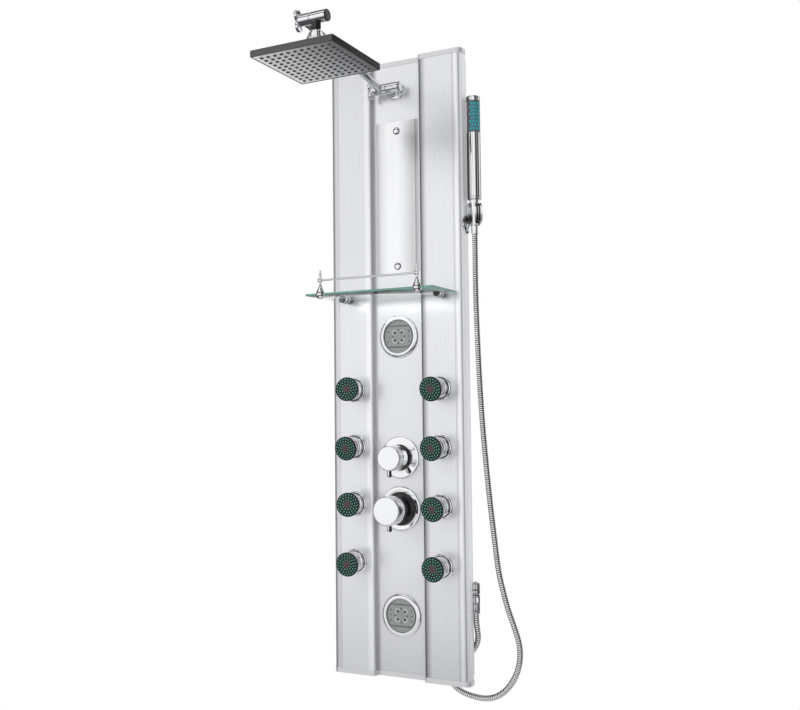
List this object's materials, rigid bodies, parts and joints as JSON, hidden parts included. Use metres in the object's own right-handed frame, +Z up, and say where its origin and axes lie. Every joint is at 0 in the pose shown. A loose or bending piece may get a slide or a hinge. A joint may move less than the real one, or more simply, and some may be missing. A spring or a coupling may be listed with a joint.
{
  "type": "shower panel column",
  "caption": "Tall wall-mounted shower panel with overhead shower on a folding arm, glass shelf, body jets, mixer, diverter and hand shower on a ribbed hose.",
  "frame": {"origin": "middle of the four wall screws, in the plane of the wall", "axes": "+X to the viewer's right, +Y into the wall so that the front faces -Y, +Z up"},
  "size_m": [0.4743, 0.5785, 1.5464],
  "materials": {
    "panel": "satin brushed",
    "cap": "silver",
    "rail": "satin",
    "bracket": "zinc plated",
    "plug": "moulded nylon",
    "mirror": "polished",
    "chrome": "polished",
    "glass": "clear, polished edge",
    "grey_plastic": "satin",
    "black_plastic": "gloss",
    "brass": "as machined",
    "head": "anthracite",
    "head_plate": "satin",
    "rubber": "soft",
    "hose": "ribbed, polished",
    "pipe": "smooth"
  },
  "bodies": {
    "panel": {"centre_panel": "panel", "left_pillar": "panel", "right_pillar": "panel", "top_cap": "cap", "bottom_cap": "cap", "side_rails": "rail", "wall_brackets": "bracket", "wall_screws": "bracket", "wall_plugs": "plug", "mirror_plate": "mirror", "mirror_caps": "chrome", "shelf_glass": "glass", "shelf_brackets": "chrome", "shelf_posts": "chrome", "shelf_rail": "chrome", "drum_rings": "chrome", "drum_housings": "grey_plastic", "diverter_plate": "chrome", "diverter_valve": "brass", "mixer_plate": "chrome", "mixer_collar": "black_plastic", "mixer_valve": "brass", "arm_base": "chrome", "outlet_elbow": "chrome", "hose": "hose", "handset_holder": "chrome", "supply_pipes": "pipe", "jet_flanges": "chrome"},
    "arm": {"arm_tube": "chrome"},
    "lower_thumb": {"lower_thumb_screw": "chrome"},
    "upper_thumb": {"upper_thumb_screw": "chrome"},
    "neck": {"arm_neck": "chrome"},
    "ball_nut": {"ball_nut": "chrome"},
    "head": {"head_shell": "head", "head_plate": "head_plate", "nozzle_mat": "rubber"},
    "upper_drum": {"upper_drum": "grey_plastic"},
    "lower_drum": {"lower_drum": "grey_plastic"},
    "diverter_knob": {"diverter_knob": "chrome"},
    "mixer_spindle": {"mixer_spindle": "chrome"},
    "mixer_knob": {"mixer_knob": "chrome"},
    "handset": {"handset_body": "chrome", "handset_band": "grey_plastic", "cone_nut": "chrome"},
    "jet_ball_1": {"jet_ball_1": "grey_plastic"},
    "jet_head_1": {"jet_head_1": "chrome"},
    "jet_ball_2": {"jet_ball_2": "grey_plastic"},
    "jet_head_2": {"jet_head_2": "chrome"},
    "jet_ball_3": {"jet_ball_3": "grey_plastic"},
    "jet_head_3": {"jet_head_3": "chrome"},
    "jet_ball_4": {"jet_ball_4": "grey_plastic"},
    "jet_head_4": {"jet_head_4": "chrome"},
    "jet_ball_5": {"jet_ball_5": "grey_plastic"},
    "jet_head_5": {"jet_head_5": "chrome"},
    "jet_ball_6": {"jet_ball_6": "grey_plastic"},
    "jet_head_6": {"jet_head_6": "chrome"},
    "jet_ball_7": {"jet_ball_7": "grey_plastic"},
    "jet_head_7": {"jet_head_7": "chrome"},
    "jet_ball_8": {"jet_ball_8": "grey_plastic"},
    "jet_head_8": {"jet_head_8": "chrome"}
  },
  "joints": [
    {"name": "arm_fold", "type": "hinge", "parent": "panel", "child": "arm", "pos_m": [0, -0.08, 0.675], "axis": [1, 0, 0], "range_deg": [-60, 20]},
    {"name": "head_pitch", "type": "hinge", "parent": "arm", "child": "neck", "pos_m": [0, -0.427, 0.73], "axis": [1, 0, 0], "range_deg": [-45, 15]},
    {"name": "head_roll", "type": "hinge", "parent": "neck", "child": "ball_nut", "pos_m": [0, -0.427, 0.684], "axis": [0, 1, 0], "range_deg": [-12, 12]},
    {"name": "head_spin", "type": "hinge", "parent": "ball_nut", "child": "head", "pos_m": [0, -0.427, 0.66], "axis": [0, 0, 1], "range_deg": [-45, 45]},
    {"name": "lower_thumb_turn", "type": "hinge", "parent": "arm", "child": "lower_thumb", "pos_m": [-0.055, -0.08, 0.675], "axis": [1, 0, 0], "range_deg": [0, 180]},
    {"name": "upper_thumb_turn", "type": "hinge", "parent": "arm", "child": "upper_thumb", "pos_m": [-0.04, -0.427, 0.73], "axis": [1, 0, 0], "range_deg": [0, 180]},
    {"name": "upper_drum_tilt", "type": "hinge", "parent": "panel", "child": "upper_drum", "pos_m": [0, -0.048, 0.067], "axis": [1, 0, 0], "range_deg": [-15, 15]},
    {"name": "lower_drum_tilt", "type": "hinge", "parent": "panel", "child": "lower_drum", "pos_m": [0, -0.048, -0.603], "axis": [1, 0, 0], "range_deg": [-15, 15]},
    {"name": "diverter_turn", "type": "hinge", "parent": "panel", "child": "diverter_knob", "pos_m": [0, -0.067, -0.226], "axis": [0, 1, 0], "range_deg": [-90, 90]},
    {"name": "mixer_turn", "type": "hinge", "parent": "panel", "child": "mixer_spindle", "pos_m": [0, -0.08, -0.349], "axis": [0, 1, 0], "range_deg": [-50, 50]},
    {"name": "mixer_lift", "type": "hinge", "parent": "mixer_spindle", "child": "mixer_knob", "pos_m": [0, -0.08, -0.349], "axis": [1, 0, 0], "range_deg": [-20, 0]},
    {"name": "handset_lift", "type": "slide", "parent": "panel", "child": "handset", "axis": [0, 0, 1], "range_m": [0, 0.06], "deforming": ["hose"]},
    {"name": "jet_1_pan", "type": "hinge", "parent": "panel", "child": "jet_ball_1", "pos_m": [-0.115, -0.092, -0.061], "axis": [0, 0, 1], "range_deg": [-25, 5]},
    {"name": "jet_1_tilt", "type": "hinge", "parent": "jet_ball_1", "child": "jet_head_1", "pos_m": [-0.115, -0.092, -0.061], "axis": [0.9848, 0.1736, 0], "range_deg": [-12, 18]},
    {"name": "jet_2_pan", "type": "hinge", "parent": "panel", "child": "jet_ball_2", "pos_m": [-0.115, -0.092, -0.2], "axis": [0, 0, 1], "range_deg": [-15, 15]},
    {"name": "jet_2_tilt", "type": "hinge", "parent": "jet_ball_2", "child": "jet_head_2", "pos_m": [-0.115, -0.092, -0.2], "axis": [1, 0, 0], "range_deg": [-22, 8]},
    {"name": "jet_3_pan", "type": "hinge", "parent": "panel", "child": "jet_ball_3", "pos_m": [-0.115, -0.092, -0.339], "axis": [0, 0, 1], "range_deg": [-25, 5]},
    {"name": "jet_3_tilt", "type": "hinge", "parent": "jet_ball_3", "child": "jet_head_3", "pos_m": [-0.115, -0.092, -0.339], "axis": [0.9848, 0.1736, 0], "range_deg": [-12, 18]},
    {"name": "jet_4_pan", "type": "hinge", "parent": "panel", "child": "jet_ball_4", "pos_m": [-0.115, -0.092, -0.478], "axis": [0, 0, 1], "range_deg": [-18, 12]},
    {"name": "jet_4_tilt", "type": "hinge", "parent": "jet_ball_4", "child": "jet_head_4", "pos_m": [-0.115, -0.092, -0.478], "axis": [0.9986, 0.0523, 0], "range_deg": [-20, 10]},
    {"name": "jet_5_pan", "type": "hinge", "parent": "panel", "child": "jet_ball_5", "pos_m": [0.115, -0.092, -0.061], "axis": [0, 0, 1], "range_deg": [-11, 19]},
    {"name": "jet_5_tilt", "type": "hinge", "parent": "jet_ball_5", "child": "jet_head_5", "pos_m": [0.115, -0.092, -0.061], "axis": [0.9976, -0.0698, 0], "range_deg": [-21, 9]},
    {"name": "jet_6_pan", "type": "hinge", "parent": "panel", "child": "jet_ball_6", "pos_m": [0.115, -0.092, -0.2], "axis": [0, 0, 1], "range_deg": [-8, 22]},
    {"name": "jet_6_tilt", "type": "hinge", "parent": "jet_ball_6", "child": "jet_head_6", "pos_m": [0.115, -0.092, -0.2], "axis": [0.9925, -0.1219, 0], "range_deg": [-19, 11]},
    {"name": "jet_7_pan", "type": "hinge", "parent": "panel", "child": "jet_ball_7", "pos_m": [0.115, -0.092, -0.339], "axis": [0, 0, 1], "range_deg": [-12, 18]},
    {"name": "jet_7_tilt", "type": "hinge", "parent": "jet_ball_7", "child": "jet_head_7", "pos_m": [0.115, -0.092, -0.339], "axis": [0.9986, -0.0523, 0], "range_deg": [-21, 9]},
    {"name": "jet_8_pan", "type": "hinge", "parent": "panel", "child": "jet_ball_8", "pos_m": [0.115, -0.092, -0.478], "axis": [0, 0, 1], "range_deg": [-11, 19]},
    {"name": "jet_8_tilt", "type": "hinge", "parent": "jet_ball_8", "child": "jet_head_8", "pos_m": [0.115, -0.092, -0.478], "axis": [0.9976, -0.0698, 0], "range_deg": [-17, 13]}
  ]
}
